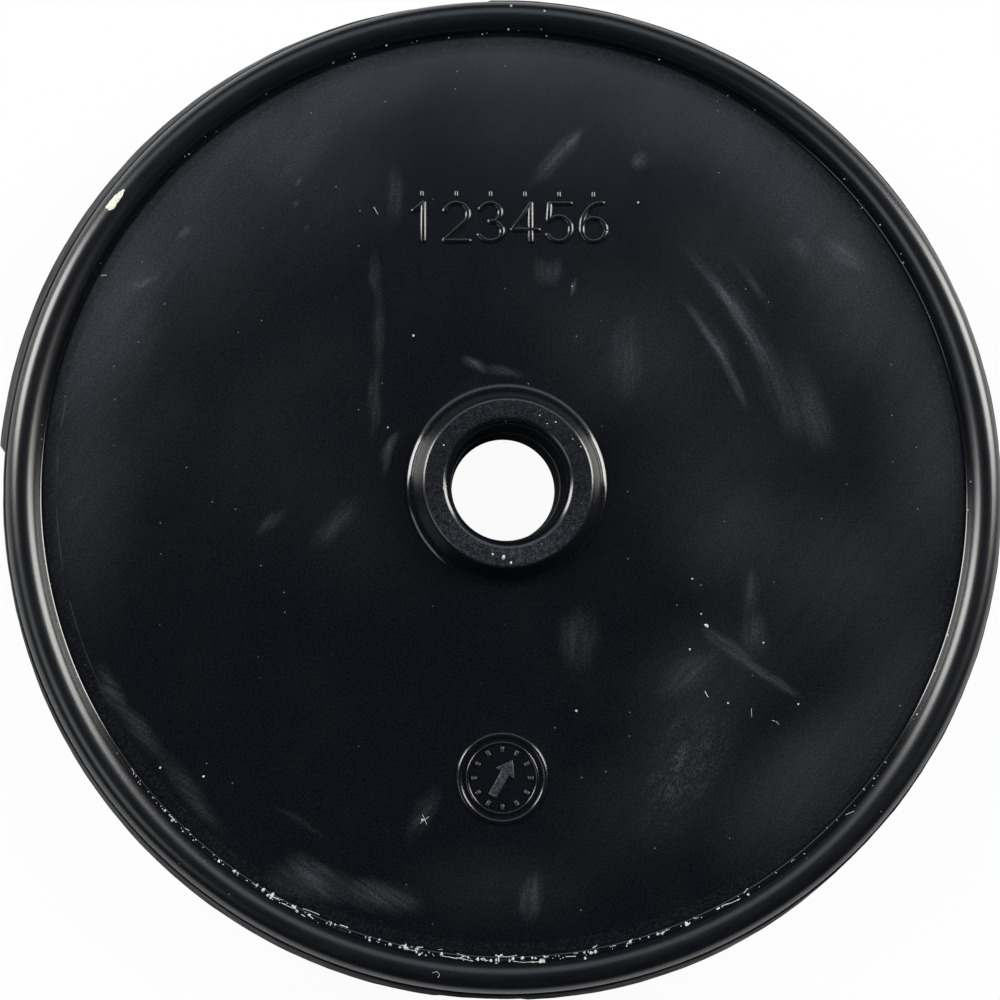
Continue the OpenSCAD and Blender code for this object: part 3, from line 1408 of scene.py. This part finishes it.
print("crumbs placed by hand:", len(chosen_crumbs))

# %% [markdown]
# A ball of twenty faces with its points pushed in and out looks like a crumb at
# this size. Its faces are few, because there are some hundreds of them.

# %% Crumb mesh


def make_crumbs(material):
    """All the crumbs as one piece."""
    dice = random.Random(crumb_seed)
    shape = bmesh.new()
    for (x, y), size, long in chosen_crumbs + tuple(scattered_crumbs(dice)):
        ball = bmesh.ops.create_icosphere(shape, subdivisions=1, radius=size * MM)["verts"]
        for vert in ball:
            vert.co *= dice.uniform(0.75, 1.15)
        bmesh.ops.scale(shape, verts=ball, vec=(long, 1, 0.7))
        turn = Matrix.Rotation(math.atan2(y, x) + dice.gauss(0, 0.5), 3, "Z")
        bmesh.ops.rotate(shape, verts=ball, matrix=turn)
        level = height_at(math.hypot(x, y)) + size * 0.35
        bmesh.ops.translate(shape, verts=ball, vec=(x * MM, y * MM, level * MM))
    return add_piece(shape, "crumbs", material)


crumbs = make_crumbs(pale_dust)

# %% [markdown]
# ## Flake and fibres
#
# A cream flake of old paint or glue sticks to the bead, and short fibres lie
# in its groove and on the web. The flake is a small grid, cut to its outline
# and laid on the bead point by point, then given its thickness. The fibres are
# curves with a round bevel, laid on the part in the same way.

# %% Flake
flake_from = (-37.6, 25.85)
flake_to = (-36.15, 27.75)
flake_wide = 0.9
flake_thick = 0.1


def flake_material():
    """Dry cream paint."""
    material, shader, spot = new_material("cream flake")
    patchy = spot.noise(0.3, detail=3).above(0.4, 0.7)
    plug(shader, "Base Color", patchy.mixed((0.84, 0.82, 0.70, 1), (0.66, 0.62, 0.50, 1)))
    plug(shader, "Roughness", 0.7)
    return material


def make_flake(material):
    """A thin flake with a wavy outline, wider at its near end, lying on the bead."""
    shape = bmesh.new()
    bmesh.ops.create_grid(shape, x_segments=14, y_segments=5, size=1)
    start = Vector((*flake_from, 0))
    along = Vector((*flake_to, 0)) - start
    side = Vector((-along.y, along.x, 0)).normalized()
    for vert in shape.verts:
        u = (vert.co.x + 1) / 2
        waist = math.sin(math.pi * min(max(u, 0.02), 0.98)) ** 0.28
        wavy = 0.12 * math.sin(9 * u + 2 * vert.co.y) + 0.07 * math.sin(23 * u)
        half = flake_wide / 2 * (1.15 - 0.75 * u) * waist
        place = start + along * (u + 0.03 * math.sin(5 * vert.co.y))
        place = place + side * half * (vert.co.y + wavy)
        level = height_at(place.xy.length) + 0.05
        vert.co = Vector((place.x, place.y, level)) * MM
    bmesh.ops.recalc_face_normals(shape, faces=shape.faces)
    bmesh.ops.solidify(shape, geom=shape.faces[:], thickness=flake_thick * MM)
    return add_piece(shape, "flake", material)


flake = make_flake(flake_material())

# %% Fibres
groove_fibres = 34
drawn_fibres = (
    (0.15, ((-1.2, -43.35), (-0.9, -43.5), (-0.55, -43.32))),
    (0.10, ((-0.9, -43.5), (-0.92, -43.9))),
    (0.06, ((0.4, -43.85), (1.3, -43.93), (2.2, -43.88), (3.3, -43.92))),
    (0.035, ((-8.1, -31.4), (-7.3, -30.8))),
    (0.035, ((-7.5, -31.5), (-7.9, -30.6))),
    (0.04, ((-7.0, -44.7), (-6.6, -44.6), (-6.35, -44.85), (-6.5, -45.15))),
    (0.09, ((-38.35, 19.8), (-37.85, 19.85))),
    (0.06, ((18.45, -19.3), (18.75, -19.85))),
    (0.035, ((22.8, -20.9), (22.8, -21.7))),
    (0.04, ((24.7, -22.0), (25.1, -22.1), (25.35, -22.4))),
    (0.05, ((-12.6, 26.6), (-12.2, 25.9))),
)


def scattered_fibres(dice):
    """Short bent fibres in the groove beside the bead, most of them at the near side."""
    fibres = []
    for number in range(groove_fibres):
        degrees = dice.gauss(262, 26)
        reach = bead_groove_r + dice.gauss(-0.1, 0.16)
        length = 0.4 + 1.3 * dice.random() ** 2
        lean = dice.gauss(0, 0.12)
        points = []
        for step in (0, 0.5, 1):
            bend = lean * step + dice.gauss(0, 0.03)
            points.append(at_angle(degrees + math.degrees(length * step / reach), reach + bend))
        fibres.append((0.04 + 0.05 * dice.random(), tuple(points)))
    return fibres


def make_fibres(material):
    """All the fibres as one piece, each laid on the part's upper face."""
    shape = bmesh.new()
    dice = random.Random(crumb_seed + 1)
    for width, points in drawn_fibres + tuple(scattered_fibres(dice)):
        laid = [(x, y, height_at(math.hypot(x, y)) + width * 0.4, 1) for x, y in points]
        add_tubes(shape, [laid], width, 1)
    bmesh.ops.remove_doubles(shape, verts=shape.verts, dist=1e-7)
    return add_piece(shape, "fibres", material)


fibres = make_fibres(pale_dust)

# %% [markdown]
# The visual model may not outgrow the CAD model's box by more than a few
# hundredths.
